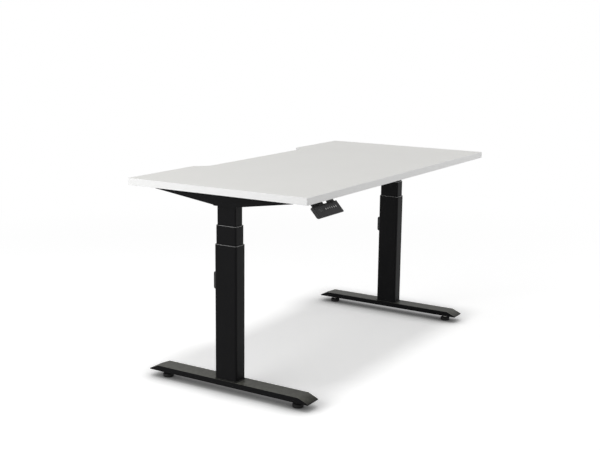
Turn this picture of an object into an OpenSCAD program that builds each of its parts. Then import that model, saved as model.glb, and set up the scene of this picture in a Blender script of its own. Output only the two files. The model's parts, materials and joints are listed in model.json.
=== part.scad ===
// Height adjustable standing desk: a laminated desktop on two three-stage electric columns.
// Millimetres, +Z up. The floor is z = 0 and the user stands on the -Y side.

/* [Desktop] */
// Width of the desktop, side to side
top_w = 1500; // [1400:10:1800]
// Depth of the desktop, front to back
top_d = 750; // [720:10:900]
// Thickness of the desktop
top_t = 25; // [20:1:36]
// Height of the top face above the floor, as modelled
top_h = 760; // [650:1:1150]
// Thickness of the plastic edge band round the board
band_t = 2; // [1:0.1:3]
// Radius of the desktop's outer corners
corner_r = 5; // [4:1:40]
// Width of the rear cable cut-out at the edge
cut_w = 756; // [400:2:1000]
// Width of the cut-out at its bottom
cut_floor_w = 672; // [300:2:900]
// Depth of the cut-out
cut_depth = 46; // [20:1:80]
// How far the cut-out lies to the right of the middle
cut_shift = 12; // [-40:1:40]
// Radius of the cut-out's four corners
cut_r = 18; // [6:1:20]

/* [Columns] */
// Distance from the desktop's side to the column's axis
leg_inset = 114; // [90:1:220]
// How far the columns stand behind the desktop's middle
col_shift = 10; // [-20:1:40]
// Width of the outer tube
outer_w = 58; // [56:0.5:72]
// Depth of the outer tube
outer_d = 93; // [88:0.5:120]
// Length of the outer tube
outer_len = 495; // [480:1:560]
// Length of the middle tube
mid_len = 490; // [475:1:555]
// Wall of each tube
tube_wall = 2; // [1.5:0.1:2.2]
// Gap between one tube and the next
tube_gap = 1.5; // [1:0.1:2]
// Corner radius of the outer tube
column_r = 8; // [7:0.5:12]
// Travel of each stage, from lowest to highest
stage_travel = 325; // [280:1:330]
// Height of the plastic bushes and shoes on the tubes
guide_h = 40; // [25:1:45]

/* [Feet] */
// Width of the foot bar
foot_w = 70; // [66:1:90]
// Thickness of the foot bar
foot_t = 20; // [18:1:30]
// Length of the flat top of the foot bar
foot_flat = 614; // [500:2:700]
// Length of the slope at each end of the foot bar
foot_slope = 39; // [20:1:60]
// How far the foot bar's middle lies behind the column's axis
foot_shift = -2; // [-40:1:20]
// Height of the foot bar's underside above the floor
foot_z = 27; // [24:1:40]
// Wall of the foot bar
foot_wall = 3; // [2.5:0.5:4]
// Diameter of the levelling glides
glide_d = 40; // [36:1:60]
// Distance between the front and the rear glide
glide_span = 572; // [440:2:580]
// How far a glide screws out
glide_travel = 12; // [8:1:13]

/* [Underframe] */
// Width of the side arms under the desktop
arm_w = 62; // [60:1:80]
// Reach of a side arm in front of the column
arm_front = 278; // [180:1:320]
// Reach of a side arm behind the column
arm_rear = 308; // [180:1:330]
// Height of a side arm at its tips
arm_tip_h = 18; // [14:1:30]
// Height of a side arm at the column
arm_h = 55; // [50:1:70]
// Sheet thickness of the side arms
arm_wall = 3; // [2:0.5:4]
// Width of the cross rails
rail_w = 36; // [30:1:44]
// Height of the cross rails
rail_h = 28; // [24:1:30]
// Wall of the cross rails
rail_wall = 2; // [1.5:0.5:3]
// Distance from the columns' plane to each cross rail
rail_offset = 90; // [86:1:110]
// Length of a rail's end piece
end_rail_len = 355; // [250:1:420]
// How far a rail's middle piece reaches into each end piece
rail_overlap = 150; // [80:1:200]

/* [Control box] */
// Width of the control box
box_w = 260; // [200:1:320]
// Depth of the control box
box_d = 100; // [90:1:120]
// Height of the control box
box_h = 38; // [36:1:50]
// Wall of the control box
box_wall = 2; // [1.5:0.5:3]

/* [Handset] */
// Width of the handset
hs_w = 155; // [140:1:190]
// Height of the handset's sloping panel
hs_h = 46; // [38:1:47]
// Thickness of the handset
hs_d = 13; // [13:0.5:15]
// Distance from the desktop's left side to the handset
hs_inset = 50; // [30:1:200]
// How far the handset's lower edge stands in front of the desktop
hs_proud = 20; // [10:1:30]
// How far the handset's lower edge hangs below the desktop's underside
hs_drop = 45; // [44:1:55]
// Angle between the handset's panel and the horizontal
hs_tilt = 48; // [40:1:51]
// Width and height of a push button
button_s = 9; // [7:0.5:10]
// Distance from one push button to the next
button_pitch = 13.4; // [12:0.1:14]
// Travel of a push button
button_travel = 0.6; // [0.3:0.1:0.7]

/* [Hidden] */
$fn = 48;
fit = 0.3;                 // clearance round anything that slides or turns
touch = 0.1;               // clearance round a cable in its clip
underside = top_h - top_t;
desk_y = hs_proud / 2;     // the handset stands in front, so the desktop sits this far back
col_x = top_w / 2 - leg_inset;
col_y = desk_y + col_shift;

// Column heights. "low" is the fully lowered place of a part.
plate_t = 5;
foot_top = foot_z + foot_t;
outer_top = foot_top + outer_len;
mid_step = 5;              // middle tube above the outer rim when lowered
arm_step = 7;              // side arm above the middle rim when lowered
mid_low = outer_top + mid_step - mid_len;
under_low = outer_top + mid_step + arm_step + arm_h;
lift = (underside - under_low) / 2;
mid_z = mid_low + lift;
mid_top = mid_z + mid_len;
inner_start = 23;          // inner tube's end above the middle tube's end when lowered
inner_z = mid_low + inner_start + 2 * lift;
inner_top = underside - arm_wall;
lip = 3;                   // part of a shoe below its tube
rim = 2;                   // part of a bush above its tube

// Screw drive
screw_d = 16;
screw_bore = 10.5;
sleeve_d = 24;
sleeve_bore = 18;
nut_h = 20;
hex_af = 8;
hex_slack = 0.6;
cap_t = 15;
screw_run_out = 11;        // fixed screw above the nut when fully raised
screw_top = mid_low - 1 + stage_travel + nut_h + screw_run_out;
sleeve_z = mid_z - 1;
sleeve_len = screw_top - (mid_low - 1) + 3 + cap_t;
plug_t = 12;
collar_t = 5.7;
collar_d = 34;
gear_h = 45;
gear_d = 56;
gear_gap = 9;              // gearbox above the sleeve when lowered
gear_z = mid_low - 1 + sleeve_len + gear_gap + 2 * lift;
motor_h = 90;
motor_d = 36;
motor_cap_h = 6;
motor_top = gear_z + gear_h + motor_h + motor_cap_h;
journal_d = 10;
journal_h = 15;
shaft_end = 4;             // drive shaft below the sleeve's cap when fully raised
shaft_z = sleeve_z + sleeve_len - cap_t - shaft_end - (stage_travel - lift);

// Foot details
bolt_d = 8;
bolt_slack = 0.4;
bolt_head_d = 13;
bolt_head_h = 8;
bolt_x = 17;
bolt_y = 30;
foot_tip = 4;
stem_d = 8;
stem_top = foot_top - foot_wall - 1;
glide_boss_d = 20;

// Cap on the rear of each outer tube
cap_w = 34;
cap_z = 375;
cap_h = 67;
cap_d = 12;

// Screws into the desktop
wood_d = 4.8;
wood_slack = 0.2;
wood_head_d = 10;
wood_head_h = 3;
wood_grip = 14;            // thread inside the board
plate_thin = 3;            // thickness under every screw head

// Cables under the desktop
motor_cord_d = 5;
motor_cord_z = underside - 13;
motor_bend = 10;
hs_cord_d = 4;
hs_cord_z = underside - 5;
hs_cord_x = -top_w / 2 + hs_inset + 125;
hs_cord_low = underside - hs_drop + 7;
hs_bend = (hs_cord_z - hs_cord_low) / 2;
hs_cord_y = col_y - 25;
hs_turn = 16;
cord_in = 8;               // cable end inside the control box
clip_w = 9;
rail_top = underside - 10;

// Handset details
hs_x = -top_w / 2 + hs_inset;
hs_y = desk_y - top_d / 2 - hs_proud;
hs_z = underside - hs_drop;
hs_wall = 2;
face_t = 2;
hs_back_r = 10;
ear_left_w = 66;
ear_right_w = 36;
ear_gap = 35;
ear_in = 3;
ear_t = 6;
window_w = 34;
window_h = 15;
window_x = 12;
window_y = 18;
button_x = 62;             // first button's centre from the handset's left end
button_y = 26;             // buttons' centre above the panel's lower edge
button_proud = 0.6;
button_lip = 1.5;
button_lip_t = 1.2;
board_t = 1.6;
board_z = -face_t - 0.3 - button_lip_t - button_travel - 0.5 - board_t;

// Power inlet
inlet_w = 28;
inlet_h = 20;
inlet_depth = 18;
inlet_y = 28;

// ---------- shared shapes ----------

// Size and corner radius of tube n: 0 is the outer, 1 the middle and 2 the inner one.
function stage_w(n) = outer_w - 2 * n * (tube_wall + tube_gap);
function stage_d(n) = outer_d - 2 * n * (tube_wall + tube_gap);
function stage_r(n) = column_r - 1.8 * n;

// Points on an arc of radius r about c, from angle a0 to a1.
function arc(c, r, a0, a1, steps = 6) =
  [for (i = [0 : steps]) c + r * [cos(a0 + (a1 - a0) * i / steps), sin(a0 + (a1 - a0) * i / steps)]];

// The corner between edges p-q and q-s, rounded to radius r.
function rounded_corner(p, q, s, r) =
  let (
    u = (p - q) / norm(p - q),
    v = (s - q) / norm(s - q),
    half = acos(u * v) / 2,
    c = q + (u + v) / norm(u + v) * r / sin(half),
    from = q + u * r / tan(half) - c,
    to = q + v * r / tan(half) - c,
    a0 = atan2(from.y, from.x),
    a1 = atan2(to.y, to.x),
    turn = a1 - a0 > 180 ? a1 - a0 - 360 : (a1 - a0 < -180 ? a1 - a0 + 360 : a1 - a0)
  )
  arc(c, r, a0, a0 + turn);

// A rectangle with round corners.
module rounded_rect(w, d, r) {
  square([w - 2 * r, d], center = true);
  square([w, d - 2 * r], center = true);
  for (x = [-1, 1], y = [-1, 1])
    translate([x * (w / 2 - r), y * (d / 2 - r)])
      circle(r = r);
}

// A ring between tube-shaped outlines; grow is added all round to tube n's own outline.
module tube_ring(n, grow_out, m, grow_in, h) {
  linear_extrude(h)
    difference() {
      rounded_rect(stage_w(n) + 2 * grow_out, stage_d(n) + 2 * grow_out, stage_r(n) + grow_out);
      rounded_rect(stage_w(m) + 2 * grow_in, stage_d(m) + 2 * grow_in, stage_r(m) + grow_in);
    }
}

// Places a leg's parts: side is -1 for left and 1 for right, and +X points to the desk's middle.
module leg(side) {
  translate([side * col_x, col_y, 0])
    mirror([side > 0 ? 1 : 0, 0, 0])
      children();
}

// Places the handset's parts: X along its width, Y up its panel and Z out of its panel.
module handset_frame() {
  translate([hs_x, hs_y, hs_z])
    rotate([hs_tilt, 0, 0])
      children();
}

// Moves to p with the X and Y axes turned to x and y.
module turned(p, x, y) {
  z = cross(x, y);
  multmatrix([
    [x.x, y.x, z.x, p.x],
    [x.y, y.y, z.y, p.y],
    [x.z, y.z, z.z, p.z]
  ])
    children();
}

// A round cable through points p, whose runs lie along the axes, with bends of radius r.
module cable(p, d, r) {
  last = len(p) - 1;
  for (i = [0 : last - 1]) {
    u = (p[i + 1] - p[i]) / norm(p[i + 1] - p[i]);
    cut_a = i == 0 ? 0 : r;
    cut_b = i == last - 1 ? 0 : r;
    turned(p[i] + u * cut_a, [u.y, u.z, u.x], cross(u, [u.y, u.z, u.x]))
      cylinder(d = d, h = norm(p[i + 1] - p[i]) - cut_a - cut_b);
    if (i > 0) {
      w = (p[i] - p[i - 1]) / norm(p[i] - p[i - 1]);
      turned(p[i] - w * r + u * r, -u, w)
        rotate_extrude(angle = 90)
          translate([r, 0])
            circle(d = d);
    }
  }
}

// ---------- places that more than one part uses ----------

arm_screws = [-arm_front + 30, -arm_front / 2 - 20, arm_rear / 2 + 10, arm_rear - 30];
box_ear_x = box_w / 2 - 30;
box_ear_y = box_d / 2 + 8;
hs_screw_y = hs_y + hs_proud + 48;
screw_points = concat(
  [for (s = [-1, 1], y = arm_screws) [s * col_x, col_y + y]],
  [for (x = [-1, 1], y = [-1, 1]) [x * box_ear_x, col_y + y * box_ear_y]],
  [for (x = [-1, 1]) [hs_x + hs_w / 2 + x * 40, hs_screw_y]]
);
rail_screw_x = col_x - arm_w / 2 - end_rail_len + 30;
motor_route = [
  [0, 0, motor_top],
  [0, 0, motor_cord_z],
  [col_x - box_w / 2 + cord_in, 0, motor_cord_z]
];
hs_start_y = hs_y + (hs_cord_low - hs_z + hs_d * cos(hs_tilt)) / tan(hs_tilt) + hs_d * sin(hs_tilt) - 4;
hs_rise_y = hs_start_y + 12 + hs_bend;
hs_route_low = [
  [hs_cord_x, hs_start_y, hs_cord_low],
  [hs_cord_x, hs_rise_y, hs_cord_low],
  [hs_cord_x, hs_rise_y, hs_cord_z],
  [hs_cord_x, hs_cord_y - 2 * hs_turn, hs_cord_z]
];
hs_route_high = [
  [hs_cord_x, hs_cord_y - 2 * hs_turn, hs_cord_z],
  [hs_cord_x, hs_cord_y, hs_cord_z],
  [-box_w / 2 + cord_in, hs_cord_y, hs_cord_z]
];

// ---------- desktop ----------

// Outline of the desktop, moved inwards by inset.
module desktop_outline(inset) {
  w = top_w / 2 - inset;
  d = top_d / 2 - inset;
  r = max(corner_r - inset, 1);
  slope = atan2(cut_depth, (cut_w - cut_floor_w) / 2);
  edge_half = cut_w / 2 + inset * tan(slope / 2);
  floor_half = cut_floor_w / 2 + inset * tan(slope / 2);
  p = [
    [-w, -d], [w, -d], [w, d],
    [cut_shift + edge_half, d], [cut_shift + floor_half, d - cut_depth],
    [cut_shift - floor_half, d - cut_depth], [cut_shift - edge_half, d], [-w, d]
  ];
  radii = [r, r, r, cut_r, cut_r, cut_r, cut_r, r];
  n = len(p);
  polygon([
    for (i = [0 : n - 1])
      each rounded_corner(p[(i + n - 1) % n], p[i], p[(i + 1) % n], radii[i])
  ]);
}

module desktop_board() {
  color([0.88, 0.88, 0.86])
    difference() {
      translate([0, desk_y, underside])
        linear_extrude(top_t)
          desktop_outline(band_t);
      for (p = screw_points)
        translate([p.x, p.y, underside - 1])
          cylinder(d = wood_d + wood_slack, h = wood_grip + 2);
    }
}

module edge_band() {
  color([0.93, 0.93, 0.93])
    translate([0, desk_y, underside])
      linear_extrude(top_t)
        difference() {
          desktop_outline(0);
          desktop_outline(band_t);
        }
}

// A pan-head wood screw whose head bears on the face at z.
module wood_screw(z) {
  translate([0, 0, z - wood_head_h])
    cylinder(d = wood_head_d, h = wood_head_h);
  translate([0, 0, z - 1])
    cylinder(d = wood_d, h = plate_thin + 1 + wood_grip);
}

module desktop_screws() {
  color("dimgray")
    for (p = screw_points)
      translate([p.x, p.y, 0])
        wood_screw(underside - plate_thin);
}

// ---------- underframe ----------

// Side view of an arm, Y across and Z up, moved inwards by inset.
module arm_side(inset) {
  root = outer_d / 2 + 4;
  polygon([
    [-arm_front + inset, underside - inset],
    [-arm_front + inset, underside - arm_tip_h + inset],
    [-root, underside - arm_h + 3 + inset],
    [-root + 4, underside - arm_h + inset],
    [root - 4, underside - arm_h + inset],
    [root, underside - arm_h + 3 + inset],
    [arm_rear - inset, underside - arm_tip_h + inset],
    [arm_rear - inset, underside - inset]
  ]);
}

// The hollow of an arm: open below in front of and behind the column's seat.
module arm_hollow() {
  seat = outer_d / 2;
  for (y = [[-arm_front + arm_wall, -seat], [seat, arm_rear - arm_wall]])
    translate([-arm_w / 2 + arm_wall, y[0], underside - arm_h - 1])
      cube([arm_w - 2 * arm_wall, y[1] - y[0], arm_h + 1 - arm_wall]);
  translate([-arm_w / 2 + arm_wall, -seat - 1, underside - arm_h + arm_wall])
    cube([arm_w - 2 * arm_wall, 2 * seat + 2, arm_h - 2 * arm_wall]);
}

module side_arm(side) {
  color([0.12, 0.12, 0.13])
    leg(side)
      difference() {
        rotate([90, 0, 90])
          linear_extrude(arm_w, center = true)
            arm_side(0);
        arm_hollow();
        translate([0, 0, underside - arm_h - 1])
          linear_extrude(arm_wall + 2)
            rounded_rect(stage_w(2), stage_d(2), stage_r(2));
        for (y = arm_screws)
          translate([0, y, underside - arm_wall - 1])
            cylinder(d = wood_d + wood_slack, h = arm_wall + 2);
        translate([0, 0, motor_cord_z])
          rotate([0, 90, 0])
            cylinder(d = motor_cord_d + 4, h = arm_w);
      }
}

// Places each of the two cross rails, front and rear, by its middle and its underside.
module both_rails() {
  for (y = [-1, 1])
    translate([0, col_y + y * rail_offset, rail_top - rail_h])
      children();
}

module end_rails() {
  color([0.12, 0.12, 0.13])
    both_rails()
      for (side = [-1, 1])
        mirror([side < 0 ? 1 : 0, 0, 0])
          translate([col_x - arm_w / 2 - end_rail_len, -rail_w / 2, 0])
            difference() {
              cube([end_rail_len, rail_w, rail_h]);
              translate([-1, rail_wall, rail_wall])
                cube([end_rail_len + 2, rail_w - 2 * rail_wall, rail_h - 2 * rail_wall]);
              translate([rail_screw_x - (col_x - arm_w / 2 - end_rail_len), rail_w / 2, -1])
                cylinder(d = 6 + bolt_slack, h = rail_wall + 2);
            }
}

module middle_rails() {
  half = col_x - arm_w / 2 - end_rail_len + rail_overlap;
  w = rail_w - 2 * rail_wall - 2 * fit;
  h = rail_h - 2 * rail_wall - 2 * fit;
  color([0.16, 0.16, 0.17])
    both_rails()
      translate([-half, -w / 2, rail_wall + fit])
        difference() {
          cube([2 * half, w, h]);
          translate([-1, rail_wall, rail_wall])
            cube([2 * half + 2, w - 2 * rail_wall, h - 2 * rail_wall]);
        }
}

// Locking screws that press on the middle rails through the end rails.
module rail_screws() {
  color("dimgray")
    both_rails()
      for (side = [-1, 1])
        translate([side * rail_screw_x, 0, -5]) {
          cylinder(d = 12, h = 5);
          cylinder(d = 6, h = 5 + rail_wall + fit);
        }
}

// ---------- columns ----------

module inner_tube(side) {
  color([0.12, 0.12, 0.13])
    leg(side)
      difference() {
        translate([0, 0, inner_z])
          tube_ring(2, 0, 2, -tube_wall, inner_top - inner_z);
        translate([0, 0, motor_cord_z])
          rotate([0, 90, 0])
            cylinder(d = motor_cord_d + 3, h = outer_w);
      }
}

module middle_tube(side) {
  color([0.11, 0.11, 0.12])
    leg(side)
      translate([0, 0, mid_z])
        tube_ring(1, 0, 1, -tube_wall, mid_len);
}

module outer_tube(side) {
  color([0.1, 0.1, 0.11])
    leg(side)
      translate([0, 0, foot_top])
        tube_ring(0, 0, 0, -tube_wall, outer_len);
}

// Guide bush in the top of tube n: a sleeve inside it and a rim on its edge.
module tube_bush(n, z) {
  color([0.07, 0.07, 0.07]) {
    translate([0, 0, z - guide_h])
      tube_ring(n, -tube_wall, n + 1, fit, guide_h);
    translate([0, 0, z])
      tube_ring(n, 0, n + 1, fit, rim);
  }
}

module middle_bush(side) {
  leg(side)
    tube_bush(1, mid_top);
}

module outer_bush(side) {
  leg(side)
    tube_bush(0, outer_top);
}

// Guide shoe on the lower end of tube n, whose end is at z, with a plug inside the tube.
module tube_shoe(n, z, plug_h, bore) {
  difference() {
    translate([0, 0, z - lip])
      linear_extrude(lip + guide_h - 10)
        rounded_rect(
          stage_w(n - 1) - 2 * (tube_wall + fit),
          stage_d(n - 1) - 2 * (tube_wall + fit),
          stage_r(n - 1) - tube_wall - fit
        );
    translate([0, 0, z])
      linear_extrude(guide_h)
        difference() {
          rounded_rect(stage_w(n), stage_d(n), stage_r(n));
          rounded_rect(stage_w(n) - 2 * tube_wall, stage_d(n) - 2 * tube_wall, stage_r(n) - tube_wall);
        }
    translate([0, 0, z + plug_h])
      linear_extrude(guide_h)
        rounded_rect(stage_w(n) - 2 * tube_wall, stage_d(n) - 2 * tube_wall, stage_r(n) - tube_wall);
    translate([0, 0, z - lip - 1])
      cylinder(d = bore, h = guide_h);
  }
}

module middle_shoe(side) {
  color([0.07, 0.07, 0.07])
    leg(side)
      tube_shoe(1, mid_z, plug_t, sleeve_d + 2 * fit);
}

module inner_nut(side) {
  color([0.75, 0.72, 0.6])
    leg(side)
      tube_shoe(2, inner_z, nut_h, sleeve_d + 2 * fit);
}

// Base plate of the column with the fixed lower screw, which is hollow.
module fixed_screw(side) {
  color([0.6, 0.6, 0.62])
    leg(side)
      difference() {
        union() {
          translate([0, 0, foot_top])
            linear_extrude(plate_t)
              rounded_rect(outer_w - 2 * tube_wall, outer_d - 2 * tube_wall, column_r - tube_wall);
          translate([0, 0, foot_top])
            cylinder(d = screw_d, h = screw_top - foot_top);
        }
        translate([0, 0, foot_top + plate_t])
          cylinder(d = screw_bore, h = screw_top);
        for (x = [-1, 1], y = [-1, 1])
          translate([x * bolt_x, y * bolt_y, foot_top - 1])
            cylinder(d = bolt_d + bolt_slack, h = plate_t + 2);
      }
}

// Turning sleeve: nut for the fixed screw at its foot, outer thread, and a hex socket in its cap.
module screw_sleeve(side) {
  color([0.65, 0.65, 0.67])
    leg(side)
      translate([0, 0, sleeve_z])
        difference() {
          union() {
            cylinder(d = sleeve_d, h = sleeve_len);
            translate([0, 0, plug_t + 1 + fit])
              cylinder(d = collar_d, h = collar_t);
          }
          translate([0, 0, -1])
            cylinder(d = screw_d + 2 * fit, h = nut_h + 2);
          translate([0, 0, nut_h])
            cylinder(d = sleeve_bore, h = sleeve_len - nut_h - cap_t);
          translate([0, 0, sleeve_len - cap_t - 1])
            cylinder(d = (hex_af + hex_slack) / cos(30), h = cap_t + 2, $fn = 6);
        }
}

module drive_shaft(side) {
  color([0.7, 0.7, 0.72])
    leg(side) {
      translate([0, 0, shaft_z])
        cylinder(d = hex_af / cos(30), h = gear_z - 1 - shaft_z, $fn = 6);
      translate([0, 0, gear_z - 1])
        cylinder(d = journal_d, h = journal_h + 1);
    }
}

module gearbox(side) {
  color([0.45, 0.45, 0.47])
    leg(side)
      translate([0, 0, gear_z])
        difference() {
          translate([-stage_w(2) / 2 + tube_wall, -gear_d / 2, 0])
            cube([stage_w(2) - 2 * tube_wall, gear_d, gear_h]);
          translate([0, 0, -1])
            cylinder(d = journal_d + 2 * fit, h = journal_h + 1 + 2 * fit);
        }
}

module motor(side) {
  color([0.3, 0.3, 0.32])
    leg(side)
      translate([0, 0, gear_z + gear_h]) {
        cylinder(d = motor_d, h = motor_h);
        translate([0, 0, motor_h])
          cylinder(d = motor_d - 8, h = motor_cap_h);
      }
}

// Moulded cap on the rear of the outer tube, hollow towards the tube.
module column_cap(side) {
  color([0.08, 0.08, 0.08])
    leg(side)
      translate([-cap_w / 2, outer_d / 2, cap_z])
        difference() {
          rotate([90, 0, 90])
            linear_extrude(cap_w)
              polygon([[0, 0], [cap_d - 2, 3], [cap_d, 8], [cap_d, cap_h - 8], [cap_d - 2, cap_h - 3], [0, cap_h]]);
          translate([2, -1, 8])
            cube([cap_w - 4, cap_d - 1, cap_h - 16]);
        }
}

// ---------- feet ----------

module foot(side) {
  half = foot_flat / 2;
  color([0.13, 0.13, 0.13])
    leg(side)
      difference() {
        union() {
          difference() {
            translate([0, foot_shift, foot_z])
              rotate([90, 0, 90])
                linear_extrude(foot_w, center = true)
                  polygon([
                    [-half - foot_slope, 0], [half + foot_slope, 0], [half + foot_slope, foot_tip],
                    [half, foot_t], [-half, foot_t], [-half - foot_slope, foot_tip]
                  ]);
            translate([0, foot_shift, foot_z])
              rotate([90, 0, 90])
                linear_extrude(foot_w - 2 * foot_wall, center = true)
                  polygon([
                    [-half - foot_slope + 3 * foot_wall, -1], [half + foot_slope - 3 * foot_wall, -1],
                    [half + foot_slope - 3 * foot_wall, foot_tip - 1], [half, foot_t - foot_wall],
                    [-half, foot_t - foot_wall], [-half - foot_slope + 3 * foot_wall, foot_tip - 1]
                  ]);
          }
          for (y = [-1, 1])
            translate([0, foot_shift + y * glide_span / 2, foot_z])
              cylinder(d = glide_boss_d, h = foot_t - 1);
        }
        for (y = [-1, 1])
          translate([0, foot_shift + y * glide_span / 2, foot_z - 1])
            cylinder(d = stem_d + 2 * fit, h = foot_t - foot_wall + 1);
        for (x = [-1, 1], y = [-1, 1])
          translate([x * bolt_x, y * bolt_y, foot_z])
            cylinder(d = bolt_d + bolt_slack, h = foot_t + 1);
      }
}

module foot_bolts(side) {
  color("dimgray")
    leg(side)
      for (x = [-1, 1], y = [-1, 1])
        translate([x * bolt_x, y * bolt_y, foot_top - foot_wall - bolt_head_h]) {
          cylinder(d = bolt_head_d, h = bolt_head_h);
          cylinder(d = bolt_d, h = bolt_head_h + foot_wall + plate_t);
        }
}

// Levelling glide: a rubber-faced disc with a threaded stem. end is -1 for front, 1 for rear.
module glide(side, end) {
  edge = 2;
  color([0.06, 0.06, 0.06])
    leg(side)
      translate([0, foot_shift + end * glide_span / 2, 0])
        rotate_extrude()
          polygon([
            [0, 0], [glide_d / 2 - edge, 0], [glide_d / 2, edge], [glide_d / 2, 12],
            [glide_d / 2 - edge, 14], [9, 16], [9, foot_z - fit], [stem_d / 2, foot_z - fit],
            [stem_d / 2, stem_top], [0, stem_top]
          ]);
}

// ---------- control box and cables ----------

module control_box() {
  h = box_h - box_wall;
  color([0.1, 0.1, 0.1])
    translate([0, col_y, underside - h])
      difference() {
        union() {
          translate([-box_w / 2, -box_d / 2, 0])
            cube([box_w, box_d, h]);
          for (x = [-1, 1], y = [-1, 1])
            translate([x * box_ear_x - 9, y < 0 ? -box_ear_y - 9 : box_d / 2 - 1, h - plate_thin])
              cube([18, box_ear_y - box_d / 2 + 10, plate_thin]);
        }
        translate([-box_w / 2 + box_wall, -box_d / 2 + box_wall, -1])
          cube([box_w - 2 * box_wall, box_d - 2 * box_wall, h + 1 - box_wall]);
        for (x = [-1, 1], y = [-1, 1])
          translate([x * box_ear_x, y * box_ear_y, 0])
            cylinder(d = wood_d + wood_slack, h = box_h);
        translate([0, 0, motor_cord_z - underside + h])
          rotate([0, 90, 0])
            cylinder(d = motor_cord_d + 2 * touch, h = box_w + 2, center = true);
        translate([-box_w / 2 - 1, hs_cord_y - col_y, hs_cord_z - underside + h])
          rotate([0, 90, 0])
            cylinder(d = hs_cord_d + 2 * touch, h = box_wall + 2);
        translate([box_w / 2 - box_wall - 1, inlet_y - inlet_w / 2, (h - inlet_h) / 2])
          cube([box_wall + 2, inlet_w, inlet_h]);
      }
}

module control_box_lid() {
  color([0.13, 0.13, 0.13])
    translate([-box_w / 2, col_y - box_d / 2, underside - box_h])
      cube([box_w, box_d, box_wall]);
}

// Circuit board of the controller with its largest parts, standing on the lid.
module control_board() {
  z = underside - box_h + box_wall;
  w = box_w - 60;
  d = box_d - 16;
  color([0.1, 0.4, 0.2])
    translate([-w / 2 - 15, col_y - d / 2, z]) {
      for (x = [8, w - 8], y = [8, d - 8])
        translate([x, y, 0])
          cylinder(d = 6, h = 5);
      translate([0, 0, 5])
        cube([w, d, board_t]);
      for (x = [30, 50])
        translate([x, d - 18, 5])
          cylinder(d = 14, h = 14);
      translate([80, 8, 5])
        cube([40, 26, 10]);
      for (x = [136, 156])
        translate([x, 8, 5])
          cube([12, 24, 10]);
    }
}

// Appliance inlet in the right side of the control box: a recess with three pins.
module power_inlet() {
  h = box_h - box_wall;
  color([0.05, 0.05, 0.05])
    translate([box_w / 2, col_y + inlet_y, underside - h + h / 2]) {
      difference() {
        union() {
          translate([-inlet_depth, -inlet_w / 2, -inlet_h / 2])
            cube([inlet_depth, inlet_w, inlet_h]);
          translate([0, -inlet_w / 2 - 2, -inlet_h / 2 - 2])
            cube([2, inlet_w + 4, inlet_h + 4]);
        }
        translate([-inlet_depth + 2, -inlet_w / 2 + 2, -inlet_h / 2 + 2])
          cube([inlet_depth + 1, inlet_w - 4, inlet_h - 4]);
      }
      for (p = [[-7, -2], [0, 2], [7, -2]])
        translate([-inlet_depth + 1, p[0] - 1, p[1] - 2])
          cube([12, 2, 4]);
    }
}

module motor_cables() {
  color([0.05, 0.05, 0.05])
    for (side = [-1, 1])
      leg(side)
        cable(motor_route, motor_cord_d, motor_bend);
}

module handset_cable() {
  color([0.05, 0.05, 0.05]) {
    cable(hs_route_low, hs_cord_d, hs_bend);
    cable(hs_route_high, hs_cord_d, hs_turn);
  }
}

// A clip on the underside of the board round a cable at p that runs along X or Y.
module clip(p, d, along_x) {
  h = underside - p.z + d / 2 + 2;
  translate([p.x, p.y, underside - h])
    rotate([0, 0, along_x ? 0 : 90])
      difference() {
        translate([-clip_w / 2, -d / 2 - 3, 0])
          cube([clip_w, d + 6, h]);
        translate([0, 0, d / 2 + 2])
          rotate([0, 90, 0])
            cylinder(d = d + 2 * touch, h = clip_w + 2, center = true);
      }
}

module cable_clips() {
  span = col_x - arm_w / 2 - box_w / 2;
  color([0.85, 0.85, 0.85]) {
    for (side = [-1, 1], k = [1 : 3])
      clip([side * (box_w / 2 + span * k / 4), col_y, motor_cord_z], motor_cord_d, true);
    for (y = [hs_y + 110, col_y - rail_offset - 40])
      clip([hs_cord_x, y, hs_cord_z], hs_cord_d, false);
    for (k = [1 : 2])
      clip([-box_w / 2 - span * (k / 3 - 0.06), hs_cord_y, hs_cord_z], hs_cord_d, true);
  }
}

// ---------- handset ----------

// End view of the handset behind its panel, moved inwards by inset.
module handset_end(inset) {
  r = hs_back_r - inset;
  polygon(concat(
    [[hs_h - inset, -face_t], [inset, -face_t]],
    arc([hs_back_r, -hs_d + hs_back_r], r, 180, 270, 8),
    arc([hs_h - 3, -hs_d + 3], 3 - inset, 270, 360, 3)
  ));
}

module handset_shell() {
  color([0.08, 0.08, 0.08])
    difference() {
      handset_frame() {
        difference() {
          rotate([90, 0, 90])
            linear_extrude(hs_w)
              handset_end(0);
          translate([hs_wall, 0, 0])
            rotate([90, 0, 90])
              linear_extrude(hs_w - 2 * hs_wall)
                handset_end(hs_wall);
        }
        for (x = [10, hs_w - 10])
          translate([x, hs_h / 2, -hs_d + 1])
            cylinder(d = 5, h = board_z + hs_d - 1);
      }
      translate([hs_cord_x, hs_start_y - 3, hs_cord_low])
        rotate([-90, 0, 0])
          cylinder(d = hs_cord_d + 2 * touch, h = 20);
    }
}

// Places something at each button's centre, on the outer face of the panel.
module at_button(i) {
  handset_frame()
    translate([button_x + i * button_pitch, button_y, 0])
      children();
}

module handset_fascia() {
  color([0.12, 0.12, 0.13])
    difference() {
      handset_frame()
        translate([0, 0, -face_t])
          cube([hs_w, hs_h, face_t]);
      for (i = [0 : 5])
        at_button(i)
          translate([0, 0, -face_t / 2])
            cube([button_s + 2 * fit, button_s + 2 * fit, face_t + 2], center = true);
      handset_frame()
        translate([window_x, window_y, -face_t - 1])
          cube([window_w, window_h, face_t + 2]);
    }
}

module display_window() {
  color([0.03, 0.03, 0.04])
    handset_frame()
      translate([window_x, window_y, -face_t])
        cube([window_w, window_h, face_t - 0.2]);
}

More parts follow.
